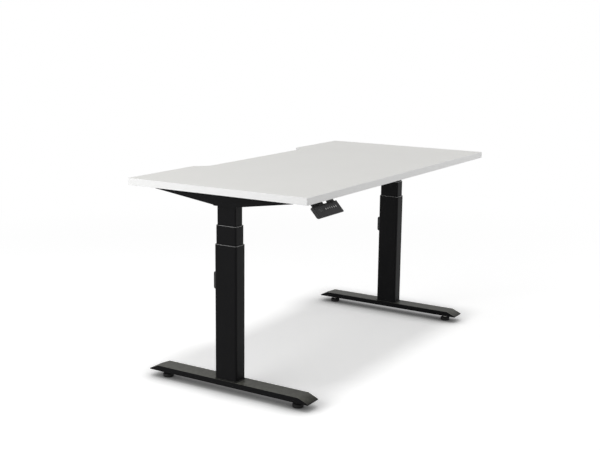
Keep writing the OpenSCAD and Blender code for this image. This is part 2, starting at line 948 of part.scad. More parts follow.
// Circuit board behind the panel, with the display's block.
module handset_board() {
  color([0.1, 0.4, 0.2])
    handset_frame() {
      translate([hs_wall + 1, 5, board_z])
        cube([hs_w - 2 * hs_wall - 2, hs_h - hs_wall - 5, board_t]);
      translate([window_x + 1, window_y + 1, board_z + board_t])
        cube([window_w - 2, window_h - 2, -face_t - board_z - board_t]);
    }
}

// Push button i, counted from the left: a cap with a lip behind the panel.
module push_button(i) {
  color([0.2, 0.2, 0.21])
    at_button(i) {
      translate([0, 0, (button_proud - face_t - fit - button_lip_t) / 2])
        cube([button_s, button_s, button_proud + face_t + fit + button_lip_t], center = true);
      translate([0, 0, -face_t - fit - button_lip_t / 2])
        cube([button_s + 2 * button_lip, button_s + 2 * button_lip, button_lip_t], center = true);
    }
}

// Where a line parallel to the panel, w out of it, stands at height z.
function panel_y(z, w) = hs_y + (z - hs_z - w * cos(hs_tilt)) / tan(hs_tilt) - w * sin(hs_tilt);

// Hanger of the handset: a plate under the board and two ears down to the shell.
module handset_bracket() {
  x0 = hs_x + (hs_w - ear_left_w - ear_right_w - ear_gap) / 2;
  seat = hs_z + hs_h * sin(hs_tilt);
  front = -ear_in;
  back = -ear_in - ear_t;
  plate_z = underside - plate_thin;
  plate_end = hs_screw_y + 8;
  color([0.08, 0.08, 0.08])
    difference() {
      union() {
        for (ear = [[x0, ear_left_w], [x0 + ear_left_w + ear_gap, ear_right_w]])
          translate([ear[0], 0, 0])
            rotate([90, 0, 90])
              linear_extrude(ear[1])
                polygon([
                  [panel_y(seat + front * cos(hs_tilt), front), seat + front * cos(hs_tilt)],
                  [panel_y(seat + back * cos(hs_tilt), back), seat + back * cos(hs_tilt)],
                  [panel_y(plate_z, back), plate_z], [plate_end, plate_z],
                  [plate_end, underside], [panel_y(underside, front), underside]
                ]);
        translate([x0 + ear_left_w - 1, panel_y(plate_z, back) + 3, plate_z])
          cube([ear_gap + 2, plate_end - panel_y(plate_z, back) - 3, plate_thin]);
      }
      for (x = [-1, 1])
        translate([hs_x + hs_w / 2 + x * 40, hs_screw_y, plate_z - 1])
          cylinder(d = wood_d + wood_slack, h = plate_thin + 2);
    }
}

// ---------- nodes ----------

desktop_board();
edge_band();
side_arm(-1);  // left_side_arm
side_arm(1);  // right_side_arm
end_rails();
middle_rails();
rail_screws();
desktop_screws();
inner_tube(-1);  // left_inner_tube
inner_tube(1);  // right_inner_tube
motor(-1);  // left_motor
motor(1);  // right_motor
gearbox(-1);  // left_gearbox
gearbox(1);  // right_gearbox
inner_nut(-1);  // left_inner_nut
inner_nut(1);  // right_inner_nut
control_box();
control_box_lid();
control_board();
power_inlet();
motor_cables();
handset_cable();
cable_clips();
handset_shell();
handset_fascia();
handset_bracket();
handset_board();
display_window();
push_button(0);  // button_up
push_button(1);  // button_down
push_button(2);  // button_one
push_button(3);  // button_two
push_button(4);  // button_three
push_button(5);  // button_memory
drive_shaft(-1);  // left_drive_shaft
drive_shaft(1);  // right_drive_shaft
middle_tube(-1);  // left_middle_tube
middle_tube(1);  // right_middle_tube
middle_bush(-1);  // left_middle_bush
middle_bush(1);  // right_middle_bush
middle_shoe(-1);  // left_middle_shoe
middle_shoe(1);  // right_middle_shoe
screw_sleeve(-1);  // left_screw_sleeve
screw_sleeve(1);  // right_screw_sleeve
outer_tube(-1);  // left_outer_tube
outer_tube(1);  // right_outer_tube
outer_bush(-1);  // left_outer_bush
outer_bush(1);  // right_outer_bush
fixed_screw(-1);  // left_fixed_screw
fixed_screw(1);  // right_fixed_screw
foot(-1);  // left_foot
foot(1);  // right_foot
foot_bolts(-1);  // left_foot_bolts
foot_bolts(1);  // right_foot_bolts
column_cap(-1);  // left_column_cap
column_cap(1);  // right_column_cap
glide(-1, -1);  // left_front_glide
glide(-1, 1);  // left_rear_glide
glide(1, -1);  // right_front_glide
glide(1, 1);  // right_rear_glide
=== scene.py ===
# %% [markdown]
# # A height adjustable standing desk
# The CAD model already holds every part of this desk at its real size. This lesson gives those
# parts their looks: softened edges that catch the light, real screw heads and printed keys, and
# a finish for each material. It starts from the frame, because every piece has to land exactly
# where the CAD model says.

# %% Load the frame
import json
import math

import bmesh
import bpy
from mathutils import Matrix, Vector


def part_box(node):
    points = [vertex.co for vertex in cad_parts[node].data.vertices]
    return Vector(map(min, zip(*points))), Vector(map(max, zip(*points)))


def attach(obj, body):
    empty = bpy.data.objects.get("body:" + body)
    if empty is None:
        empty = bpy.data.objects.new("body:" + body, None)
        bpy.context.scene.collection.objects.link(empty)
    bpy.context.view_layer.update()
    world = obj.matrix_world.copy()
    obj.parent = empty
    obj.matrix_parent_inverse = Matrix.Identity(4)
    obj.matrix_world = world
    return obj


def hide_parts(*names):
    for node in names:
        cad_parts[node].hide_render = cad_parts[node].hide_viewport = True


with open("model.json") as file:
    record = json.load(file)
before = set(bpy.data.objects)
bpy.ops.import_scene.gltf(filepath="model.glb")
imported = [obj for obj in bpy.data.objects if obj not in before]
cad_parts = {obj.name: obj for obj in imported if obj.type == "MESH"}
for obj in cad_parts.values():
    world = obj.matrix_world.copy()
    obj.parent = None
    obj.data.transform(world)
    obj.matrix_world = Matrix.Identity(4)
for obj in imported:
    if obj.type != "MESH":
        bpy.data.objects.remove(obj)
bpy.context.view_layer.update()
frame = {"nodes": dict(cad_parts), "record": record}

nodes = frame["nodes"]
record = frame["record"]
body_of = {node: body for body, members in record["behaviour"]["bodies"].items() for node in members}
slot_of = {part["node"]: part["material_slot"] for part in record["subparts"]}
MM = 0.001
SIDES = ("left", "right")
ENDS = ("front", "rear")

# %% [markdown]
# ## Where the camera stands
# A product shot of a desk is usually taken with a long lens, from a little above the top and
# towards one end, so that the side and the long front edge both show. A camera could be aimed
# with a Track To constraint, but turning the view into three axes keeps the small roll exact and
# leaves nothing live in the file.

# %% Camera
view_azimuth = math.radians(-58.62)
view_elevation = math.radians(11.15)
view_roll = math.radians(0.66)
view_distance = 3.898
view_target = Vector((-0.1804, 0.010, 0.5384))


def camera_axes(azimuth, elevation, roll):
    """The camera's right, up and backward axes."""
    back = Vector((
        math.sin(azimuth) * math.cos(elevation),
        -math.cos(azimuth) * math.cos(elevation),
        math.sin(elevation),
    ))
    right = Vector((math.cos(azimuth), math.sin(azimuth), 0))
    up = back.cross(right)
    turned_right = right * math.cos(roll) + up * math.sin(roll)
    turned_up = up * math.cos(roll) - right * math.sin(roll)
    return turned_right, turned_up, back


scene = bpy.context.scene
lens = bpy.data.cameras.new("product_camera")
lens.sensor_width = 36
lens.lens = 60.08
camera = bpy.data.objects.new("product_camera", lens)
axis_x, axis_y, axis_z = camera_axes(view_azimuth, view_elevation, view_roll)
camera.matrix_world = Matrix((
    (axis_x.x, axis_y.x, axis_z.x, view_target.x + axis_z.x * view_distance),
    (axis_x.y, axis_y.y, axis_z.y, view_target.y + axis_z.y * view_distance),
    (axis_x.z, axis_y.z, axis_z.z, view_target.z + axis_z.z * view_distance),
    (0, 0, 0, 1),
))
scene.collection.objects.link(camera)
scene.camera = camera
scene.view_settings.view_transform = "Standard"
print("camera at", [round(v, 3) for v in camera.matrix_world.translation])

# %% [markdown]
# ## Small helpers for shader nodes
# Every material below is a node tree, and writing each link out in full would bury the idea.
# `wire` sets plain numbers and joins sockets in one call, so a material reads like a recipe.


# %% Node helpers
def wire(tree, kind, links=None, **values):
    """Adds a node, sets its properties and joins its inputs: a value or another node's socket."""
    made = tree.nodes.new(kind)
    for name, value in values.items():
        setattr(made, name, value)
    for name, value in (links or {}).items():
        if isinstance(value, bpy.types.NodeSocket):
            tree.links.new(value, made.inputs[name])
        else:
            made.inputs[name].default_value = value
    return made


def shader_group(name, inputs, outputs):
    """A node group with float inputs and the named outputs, and its input and output nodes."""
    group = bpy.data.node_groups.new(name, "ShaderNodeTree")
    for label, value in inputs.items():
        socket = group.interface.new_socket(label, in_out="INPUT", socket_type="NodeSocketFloat")
        socket.default_value = value
    for label, kind in outputs.items():
        group.interface.new_socket(label, in_out="OUTPUT", socket_type=kind)
    return group, group.nodes.new("NodeGroupInput"), group.nodes.new("NodeGroupOutput")


def place_group(tree, group, **values):
    """Puts a node group in a tree with its own numbers."""
    made = tree.nodes.new("ShaderNodeGroup")
    made.node_tree = group
    for name, value in values.items():
        made.inputs[name].default_value = value
    return made


print("node helpers ready")

# %% [markdown]
# ## The floor and the white behind it
# A catalogue picture has a pure white ground that still keeps the soft shadow of the object. The
# floor could simply be lit until it burns out, but then the desk burns out too. Here the floor
# shows part of its own steady white and part of the light that falls on it, and only for rays
# that the camera, a mirror or a lens sends. All other rays meet an ordinary pale floor. The glow
# would also wash out the dark line where the feet stand, so an Ambient Occlusion node, which
# measures how much of the sky close objects hide, puts that contact shadow back.

# %% Floor and world
FLOOR_SIZE = 60
FLOOR_GLOW = 0.28
FLOOR_PAINT = 0.98
CONTACT_REACH = 0.09
CONTACT_DEPTH = 1.1
FLOOR_CLEAR = 3.6


def seen_directly(tree):
    """1 for rays from the camera, a glossy surface or through glass, and 0 for all others."""
    path = tree.nodes.new("ShaderNodeLightPath")
    either = wire(tree, "ShaderNodeMath",
                  {0: path.outputs["Is Camera Ray"], 1: path.outputs["Is Glossy Ray"]}, operation="MAXIMUM")
    return wire(tree, "ShaderNodeMath", {0: either.outputs[0], 1: path.outputs["Is Transmission Ray"]},
                operation="MAXIMUM").outputs[0]


def floor_material():
    """White that keeps a shadow near the desk and turns to a plain white ground further out."""
    material = bpy.data.materials.new("studio_floor")
    material.use_nodes = True
    tree = material.node_tree
    tree.nodes.clear()
    near = wire(tree, "ShaderNodeAmbientOcclusion", {"Distance": CONTACT_REACH}, samples=16)
    contact = wire(tree, "ShaderNodeMath", {0: near.outputs["AO"], 1: CONTACT_DEPTH}, operation="POWER")
    grey = wire(tree, "ShaderNodeMath", {0: contact.outputs[0], 1: FLOOR_PAINT}, operation="MULTIPLY")
    own = wire(tree, "ShaderNodeMath", {0: contact.outputs[0], 1: FLOOR_GLOW}, operation="MULTIPLY")
    place = tree.nodes.new("ShaderNodeTexCoord")
    length = wire(tree, "ShaderNodeVectorMath", {0: place.outputs["Object"]}, operation="LENGTH")
    away = wire(tree, "ShaderNodeMapRange",
                {"Value": length.outputs["Value"], "From Min": FLOOR_CLEAR * 0.45, "From Max": FLOOR_CLEAR},
                interpolation_type="SMOOTHSTEP")
    glow = wire(tree, "ShaderNodeEmission", {"Color": (1, 1, 1, 1), "Strength": own.outputs[0]})
    paint = wire(tree, "ShaderNodeBsdfDiffuse", {"Color": grey.outputs[0]})
    both = wire(tree, "ShaderNodeAddShader", {0: glow.outputs[0], 1: paint.outputs[0]})
    white = wire(tree, "ShaderNodeEmission", {"Color": (1, 1, 1, 1), "Strength": 1.0})
    shown = wire(tree, "ShaderNodeMixShader", {0: away.outputs[0], 1: both.outputs[0], 2: white.outputs[0]})
    plain = wire(tree, "ShaderNodeBsdfDiffuse", {"Color": (0.78, 0.78, 0.78, 1)})
    mixed = wire(tree, "ShaderNodeMixShader",
                 {0: seen_directly(tree), 1: plain.outputs[0], 2: shown.outputs[0]})
    wire(tree, "ShaderNodeOutputMaterial", {"Surface": mixed.outputs[0]})
    return material


floor_form = bmesh.new()
bmesh.ops.create_grid(floor_form, x_segments=1, y_segments=1, size=FLOOR_SIZE / 2)
floor_mesh = bpy.data.meshes.new("studio_floor")
floor_form.to_mesh(floor_mesh)
floor_form.free()
floor = bpy.data.objects.new("studio_floor", floor_mesh)
scene.collection.objects.link(floor)
floor.data.materials.append(floor_material())

AMBIENT = 0.36
world = bpy.data.worlds.new("studio_world")
world.use_nodes = True
scene.world = world
sky = world.node_tree
sky.nodes.clear()
ambient = wire(sky, "ShaderNodeBackground", {"Color": (1, 1, 1, 1), "Strength": AMBIENT})
backdrop = wire(sky, "ShaderNodeBackground", {"Color": (1, 1, 1, 1), "Strength": 1.0})
sky_mix = wire(sky, "ShaderNodeMixShader",
               {0: seen_directly(sky), 1: ambient.outputs[0], 2: backdrop.outputs[0]})
wire(sky, "ShaderNodeOutputWorld", {"Surface": sky_mix.outputs[0]})
print("floor", FLOOR_SIZE, "m wide, ambient", AMBIENT)

# %% [markdown]
# ## Lamps
# The desk's left end is its brightest side, so the main soft box stands to the left and a little
# behind, and a weaker one fills the long front edge from the right. Area lamps are used because
# their size sets how soft the light is. The clear shadow straight below the desktop needs light
# that falls in parallel, which only a sun lamp gives, and its angle sets the blur of that shadow.


# %% Lamps
def soft_box(name, place, aim, width, height, power):
    """A rectangular area lamp at place that points at aim."""
    lamp = bpy.data.lights.new(name, "AREA")
    lamp.shape = "RECTANGLE"
    lamp.size = width
    lamp.size_y = height
    lamp.energy = power
    box = bpy.data.objects.new(name, lamp)
    direction = Vector(aim) - Vector(place)
    box.matrix_world = Matrix.Translation(place) @ direction.to_track_quat("-Z", "Y").to_matrix().to_4x4()
    scene.collection.objects.link(box)
    return box


soft_box("left_soft_box", (-2.9, 1.1, 1.5), (-0.5, 0.1, 0.65), 2.4, 1.4, 38)
soft_box("right_fill", (2.4, -3.4, 1.3), (0.5, -0.3, 0.6), 2.4, 1.6, 26)
overhead = bpy.data.lights.new("overhead_sun", "SUN")
overhead.energy = 0.90
overhead.angle = math.radians(12)
overhead_object = bpy.data.objects.new("overhead_sun", overhead)
overhead_object.rotation_euler = Vector((0.12, 0.07, -1)).to_track_quat("-Z", "Y").to_euler()
scene.collection.objects.link(overhead_object)
print("two soft boxes and an overhead sun")

# %% [markdown]
# ## Effects that several materials share
# Four effects turn up again and again on this desk: a fine texture that scatters the light, a
# very faint cloudiness of tone, paler edges that are real wear on the powder coat and a painted
# highlight on the bush rims and black plastic parts, and a pale coat on level faces that is dust
# and a painted sheen for the reflection those faces catch. Each is a node group with its own
# inputs, built once, so that a change of recipe reaches every material that uses it. Level faces
# are found from the surface's own normal, so no map is needed.

# %% Shared effects
texture_group, source, sink = shader_group(
    "fine_texture", {"Grain per metre": 1500.0, "Softness": 0.5}, {"Height": "NodeSocketFloat"})
spot = texture_group.nodes.new("ShaderNodeTexCoord")
grain = wire(texture_group, "ShaderNodeTexNoise",
             {"Vector": spot.outputs["Object"], "Scale": source.outputs["Grain per metre"],
              "Detail": 2.0, "Roughness": source.outputs["Softness"]})
texture_group.links.new(grain.outputs[0], sink.inputs["Height"])

cloud_group, source, sink = shader_group(
    "cloudy_tone", {"Clouds per metre": 6.0, "Low": 0.96, "High": 1.0}, {"Factor": "NodeSocketFloat"})
spot = cloud_group.nodes.new("ShaderNodeTexCoord")
clouds = wire(cloud_group, "ShaderNodeTexNoise",
              {"Vector": spot.outputs["Object"], "Scale": source.outputs["Clouds per metre"], "Detail": 5.0})
spread = wire(cloud_group, "ShaderNodeMapRange",
              {"Value": clouds.outputs[0], "From Min": 0.3, "From Max": 0.7,
               "To Min": source.outputs["Low"], "To Max": source.outputs["High"]})
cloud_group.links.new(spread.outputs[0], sink.inputs["Factor"])

# Paler convex edges: real wear on the powder coat, and a painted highlight on the bush rims and the black
# plastic parts.
wear_and_highlight_group, source, sink = shader_group(
    "edge_wear_and_highlight", {"Radius": 0.0008, "Amount": 1.0}, {"Mask": "NodeSocketFloat"})
soft_normal = wear_and_highlight_group.nodes.new("ShaderNodeBevel")
soft_normal.samples = 4
wear_and_highlight_group.links.new(source.outputs["Radius"], soft_normal.inputs["Radius"])
here = wear_and_highlight_group.nodes.new("ShaderNodeNewGeometry")
turn = wire(wear_and_highlight_group, "ShaderNodeVectorMath",
            {0: soft_normal.outputs[0], 1: here.outputs["Normal"]}, operation="DOT_PRODUCT")
bent = wire(wear_and_highlight_group, "ShaderNodeMapRange",
            {"Value": turn.outputs["Value"], "From Min": 1.0, "From Max": 0.82})
spot = wear_and_highlight_group.nodes.new("ShaderNodeTexCoord")
patches = wire(wear_and_highlight_group, "ShaderNodeTexNoise",
               {"Vector": spot.outputs["Object"], "Scale": 90.0, "Detail": 3.0})
broken = wire(wear_and_highlight_group, "ShaderNodeMath", {0: bent.outputs[0], 1: patches.outputs[0]}, operation="MULTIPLY")
scaled = wire(wear_and_highlight_group, "ShaderNodeMath",
              {0: broken.outputs[0], 1: source.outputs["Amount"]}, operation="MULTIPLY")
wear_and_highlight_group.links.new(scaled.outputs[0], sink.inputs["Mask"])

# Dust and painted sheen: faces that look up get a pale coat, broken up by noise, that stands for dust and for
# the reflection that level faces catch.
dust_and_sheen_group, source, sink = shader_group("dust_and_sheen_on_level_faces", {"Amount": 0.3}, {"Mask": "NodeSocketFloat"})
here = dust_and_sheen_group.nodes.new("ShaderNodeNewGeometry")
parts = wire(dust_and_sheen_group, "ShaderNodeSeparateXYZ", {0: here.outputs["Normal"]})
level = wire(dust_and_sheen_group, "ShaderNodeMapRange",
             {"Value": parts.outputs["Z"], "From Min": 0.89, "From Max": 1.0})
spot = dust_and_sheen_group.nodes.new("ShaderNodeTexCoord")
dust_and_sheen_specks = wire(dust_and_sheen_group, "ShaderNodeTexNoise",
              {"Vector": spot.outputs["Object"], "Scale": 60.0, "Detail": 6.0})
uneven = wire(dust_and_sheen_group, "ShaderNodeMapRange", {"Value": dust_and_sheen_specks.outputs[0], "To Min": 0.6, "To Max": 1.4})
lying = wire(dust_and_sheen_group, "ShaderNodeMath", {0: level.outputs[0], 1: uneven.outputs[0]}, operation="MULTIPLY")
scaled = wire(dust_and_sheen_group, "ShaderNodeMath", {0: lying.outputs[0], 1: source.outputs["Amount"]},
              operation="MULTIPLY")
dust_and_sheen_group.links.new(scaled.outputs[0], sink.inputs["Mask"])
shared_groups = (texture_group, cloud_group, wear_and_highlight_group, dust_and_sheen_group)
print("shared effects:", ", ".join(group.name for group in shared_groups))

# %% [markdown]
# ## One recipe for painted, moulded and metal finishes
# Most finishes here differ only in a few numbers: colour, how much the tone clouds, how glossy
# the skin is, how coarse its texture is, how pale its edges are from wear and painted highlight,
# and how much dust and painted sheen lie on its level faces. A Principled shader with these inputs
# covers paint, plastic, rubber and steel, and keeps them comparable.


# %% Finish recipe
# The pale coat on level faces: dust, and a painted sheen for the reflection they catch.
DUST_AND_SHEEN_COLOUR = (0.30, 0.30, 0.26)
BUMP_DISTANCE = 0.00005
ROUGHNESS_SPREAD = 0.06


def mixed_colour(tree, factor, low, high):
    """The colour between low, a colour or a socket, and the colour high, at factor."""
    if not isinstance(low, bpy.types.NodeSocket):
        low = (*low, 1)
    return wire(tree, "ShaderNodeMix", {0: factor, 6: low, 7: (*high, 1)}, data_type="RGBA").outputs[2]


def finish(name, colour, roughness=0.5, metallic=0.0, specular=0.5, grain=1500, bump=0.15,
           clouds=6, cloud_low=0.94, wear_and_highlight_colour=None, wear_and_highlight=0.0, wear_and_highlight_radius=0.0009, dust_and_sheen=0.0):
    """A material of one tone with cloudiness, fine texture, pale edges of wear and painted highlight, and
    dust with painted sheen on level faces.
    """
    material = bpy.data.materials.new(name)
    material.use_nodes = True
    tree = material.node_tree
    tree.nodes.clear()
    tone = place_group(tree, cloud_group, **{"Clouds per metre": clouds, "Low": 0.0, "High": 1.0})
    dark = [channel * cloud_low for channel in colour]
    base = mixed_colour(tree, tone.outputs["Factor"], dark, colour)
    # Paler edges: wear on the powder coat, a painted highlight on the bush and black plastic.
    if wear_and_highlight:
        edge = place_group(tree, wear_and_highlight_group, Radius=wear_and_highlight_radius, Amount=wear_and_highlight)
        base = mixed_colour(tree, edge.outputs["Mask"], base, wear_and_highlight_colour)
    # Level faces paled by dust and a painted sheen.
    if dust_and_sheen:
        dust_and_sheen_mask = place_group(tree, dust_and_sheen_group, Amount=dust_and_sheen)
        base = mixed_colour(tree, dust_and_sheen_mask.outputs["Mask"], base, DUST_AND_SHEEN_COLOUR)
    skin = place_group(tree, texture_group, **{"Grain per metre": grain})
    rough = wire(tree, "ShaderNodeMapRange",
                 {"Value": skin.outputs["Height"], "From Min": 0.3, "From Max": 0.7,
                  "To Min": roughness - ROUGHNESS_SPREAD, "To Max": roughness + ROUGHNESS_SPREAD})
    relief = wire(tree, "ShaderNodeBump",
                  {"Strength": bump, "Distance": BUMP_DISTANCE, "Height": skin.outputs["Height"]})
    shader = wire(tree, "ShaderNodeBsdfPrincipled",
                  {"Base Color": base, "Roughness": rough.outputs[0], "Metallic": metallic,
                   "Specular IOR Level": specular, "Normal": relief.outputs[0]})
    wire(tree, "ShaderNodeOutputMaterial", {"Surface": shader.outputs[0]})
    return material


finishes = {
    # The bush rims' pale edges are a painted highlight.
    "bush_plastic": finish("bush_plastic_painted_rim_highlight", (0.010, 0.010, 0.0105), roughness=0.3, grain=2600, bump=0.1,
                           specular=0.5, clouds=12, cloud_low=0.85, wear_and_highlight_colour=(0.55, 0.55, 0.55), wear_and_highlight=1.8,
                           wear_and_highlight_radius=0.0022),
    "laminate": finish("white_laminate", (0.83, 0.825, 0.80), roughness=0.5, grain=900, bump=0.10,
                       clouds=4, cloud_low=0.985, specular=0.4),
    "edge_band": finish("edge_band", (0.86, 0.86, 0.855), roughness=0.42, grain=700, bump=0.06,
                        clouds=9, cloud_low=0.985, specular=0.4),
    # Pale edges here are wear; its pale level faces are dust and a painted sheen.
    "powder_coat": finish("black_powder_coat", (0.0038, 0.0038, 0.0043), roughness=0.40, grain=1900,
                          bump=0.35, specular=0.07, clouds=5, cloud_low=0.8, wear_and_highlight_colour=(0.03, 0.03, 0.03),
                          wear_and_highlight=0.4, dust_and_sheen=0.28),
    # The pale edges of the black plastic are a painted highlight.
    "black_plastic": finish("moulded_black_plastic", (0.008, 0.008, 0.0085), roughness=0.4, grain=2600,
                            bump=0.2, specular=0.3, clouds=12, cloud_low=0.85, wear_and_highlight_colour=(0.16, 0.16, 0.16),
                            wear_and_highlight=1.0, wear_and_highlight_radius=0.0016),
    "panel_plastic": finish("smooth_panel_plastic", (0.006, 0.006, 0.007), roughness=0.32, grain=1200,
                            bump=0.03, specular=0.12, clouds=10, cloud_low=0.9),
    "window": finish("smoked_window", (0.004, 0.004, 0.005), roughness=0.12, grain=300, bump=0.01,
                     specular=0.12, clouds=8, cloud_low=0.9),
    "button_plastic": finish("key_plastic", (0.016, 0.016, 0.017), roughness=0.45, grain=3000, bump=0.15,
                             specular=0.35, clouds=30, cloud_low=0.9),
    "black_rubber": finish("black_rubber", (0.012, 0.012, 0.012), roughness=0.7, grain=1800, bump=0.3,
                           specular=0.25, clouds=20, cloud_low=0.8),
    "bright_steel": finish("turned_steel", (0.56, 0.57, 0.58), roughness=0.28, metallic=1.0, grain=2500,
                           bump=0.1, clouds=15, cloud_low=0.9),
    "zinc_steel": finish("zinc_plated_steel", (0.42, 0.42, 0.40), roughness=0.36, metallic=1.0, grain=1600,
                         bump=0.15, clouds=40, cloud_low=0.75),
    "motor_steel": finish("motor_can", (0.20, 0.205, 0.21), roughness=0.38, metallic=0.7, grain=1500,
                          bump=0.1, clouds=12, cloud_low=0.85),
    "gear_case": finish("die_cast_case", (0.36, 0.37, 0.38), roughness=0.5, metallic=0.8, grain=2200,
                        bump=0.4, clouds=20, cloud_low=0.85),
    "nut_plastic": finish("acetal_nut", (0.72, 0.69, 0.60), roughness=0.42, grain=900, bump=0.05,
                          clouds=14, cloud_low=0.95),
    "circuit_board": finish("circuit_board", (0.02, 0.13, 0.05), roughness=0.35, grain=1200, bump=0.1,
                            clouds=60, cloud_low=0.7),
    "cable_black": finish("cable_jacket", (0.012, 0.012, 0.012), roughness=0.55, grain=1400, bump=0.1,
                          specular=0.3, clouds=25, cloud_low=0.85),
    "clip_white": finish("nylon_clip", (0.70, 0.70, 0.69), roughness=0.4, grain=900, bump=0.05,
                         clouds=20, cloud_low=0.95),
}
print(len(finishes), "finishes")

# %% [markdown]
# ## Softened copies of CAD parts
# A CAD solid has knife-sharp edges, and a sharp edge never catches light, which is why raw CAD
# renders look like paper. Real sheet metal is bent to a radius and real plastic is moulded with
# one. The shape is right already, so each visible part is copied, its loose triangles are joined
# into whole faces, and its sharp edges are rounded with a bevel of the real radius.


# %% Copy, soften and finish a part
SMOOTH_ANGLE = 40


def merged_copy(node):
    """A CAD node's mesh as a bmesh, with its triangles joined into whole faces."""
    form = bmesh.new()
    form.from_mesh(nodes[node].data)
    bmesh.ops.remove_doubles(form, verts=form.verts, dist=1e-6)
    bmesh.ops.dissolve_limit(form, angle_limit=math.radians(0.4), verts=form.verts, edges=form.edges,
                             use_dissolve_boundaries=False)
    return form


def sharp_edges(form, angle=35):
    """The edges at which two faces turn by more than angle degrees."""
    limit = math.radians(angle)
    return [edge for edge in form.edges
            if len(edge.link_faces) == 2 and edge.calc_face_angle(0) > limit]


def round_over(form, edges, radius, segments=3):
    """Rounds edges to radius."""
    bmesh.ops.bevel(form, geom=edges, offset=radius, offset_type="OFFSET", segments=segments,
                    profile=0.5, affect="EDGES", clamp_overlap=True, material=-1)


def finish_piece(form, name, body, slot, stands_for=(), look=None):
    """Makes an object of a bmesh, with its finish and its body, and hides the CAD nodes that it stands for.
    """
    mesh = bpy.data.meshes.new(name)
    form.to_mesh(mesh)
    form.free()
    mesh.shade_smooth()
    mesh.set_sharp_from_angle(angle=math.radians(SMOOTH_ANGLE))
    mesh.materials.append(finishes[look or slot])
    piece = bpy.data.objects.new(name, mesh)
    scene.collection.objects.link(piece)
    weight = piece.modifiers.new("flat_faces_stay_flat", "WEIGHTED_NORMAL")
    weight.keep_sharp = True
    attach(piece, body)
    if stands_for:
        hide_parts(*stands_for)
    return piece


def softened(node, radius, segments=3, look=None, above=-1):
    """Replaces a CAD node by a copy whose sharp edges are rounded, from the height above upwards."""
    form = merged_copy(node)
    edges = [edge for edge in sharp_edges(form) if min(vert.co.z for vert in edge.verts) > above]
    round_over(form, edges, radius * MM, segments)
    return finish_piece(form, node + "_soft", body_of[node], slot_of[node], [node], look=look)


print("edge radii are given in millimetres")

# %% [markdown]
# ## Desktop
# The top is a chipboard slab with a melamine face, and a plastic band is glued round its edge and
# scraped to a small radius. The face stays crisp and flat, so only the band's outer edges are
# rounded; the hairline where band and face meet is the real joint between two pieces. The outer
# edges are found by asking which of the band's side faces do not touch the board.

# %% Desktop
BAND_RADIUS = 1.6
band = merged_copy("edge_band")
board = nodes["desktop_board"]


def touches_board(face):
    """Whether a face lies against the board's own side."""
    found, near, _, _ = board.closest_point_on_mesh(face.calc_center_median())
    return found and (near - face.calc_center_median()).length < 0.4 * MM


outer_faces = {face for face in band.faces if abs(face.normal.z) < 0.5 and not touches_board(face)}
outer_edges = [edge for edge in band.edges
               if len(edge.link_faces) == 2
               and len(outer_faces & set(edge.link_faces)) == 1
               and any(abs(face.normal.z) > 0.5 for face in edge.link_faces)]
round_over(band, outer_edges, BAND_RADIUS * MM, 4)
finish_piece(band, "edge_band_soft", "top", "edge_band", ["edge_band"])
softened("desktop_board", 0.12, 1)
print(len(outer_edges), "outer edges rounded to", BAND_RADIUS, "mm")

# %% [markdown]
# ## Telescopic columns
# Each column is three cold-formed steel tubes, one inside another. The corners are wide radii
# from the forming rolls and the cut ends are only deburred, so the two radii are very different.
# A tube could be a copy of the CAD part, but its corners are coarse. Here a plain box gets its
# four upright edges rolled, and its ends are opened with an inset and a bridge.


# %% Columns
TUBE_WALL = 2.0
TUBE_RADII = {"outer_tube": 8.0, "middle_tube": 6.2, "inner_tube": 4.4}


def corner_box(low, high, radius, segments=10):
    """A closed box between two corners with its four upright edges rounded."""
    form = bmesh.new()
    size = high - low
    place = Matrix.Translation((low + high) / 2) @ Matrix.Diagonal((*size, 1))
    bmesh.ops.create_cube(form, size=1, matrix=place)
    upright = [edge for edge in form.edges if abs((edge.verts[0].co - edge.verts[1].co).z) > size.z / 2]
    round_over(form, upright, radius, segments)
    return form


def open_tube(low, high, radius, wall, rim=0.35 * MM):
    """A box section with its ends open and its rims deburred."""
    form = corner_box(low, high, radius)
    ends = [face for face in form.faces if abs(face.normal.z) > 0.9]
    bmesh.ops.inset_region(form, faces=ends, thickness=wall, use_even_offset=True)
    rims = [list(face.edges) for face in ends]
    bmesh.ops.delete(form, geom=ends, context="FACES_ONLY")
    bmesh.ops.bridge_loops(form, edges=rims[0] + rims[1])
    form.normal_update()
    bmesh.ops.recalc_face_normals(form, faces=form.faces)
    round_over(form, sharp_edges(form, 60), rim, 2)
    return form


for side in SIDES:
    for part, radius in TUBE_RADII.items():
        node = side + "_" + part
        low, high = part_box(node)
        form = open_tube(low, high, radius * MM, TUBE_WALL * MM)
        finish_piece(form, node + "_rolled", body_of[node], "powder_coat", [node])
print("six tubes, wall", TUBE_WALL, "mm")

# %% [markdown]
# ## Frame under the desktop
# The side arms are folded from 3 mm steel and the cross rails are square tube, all in the same
# black powder coat. Powder needs edges of about half a millimetre or it pulls away from them, so
# that is the radius used. The bushes, shoes and caps are mouldings. A bush is rounded only round the
# top of its rim: the sleeve below is thinner than the radius, and rounding both edges of a thin wall
# by more than half its thickness turns its end face inside out.

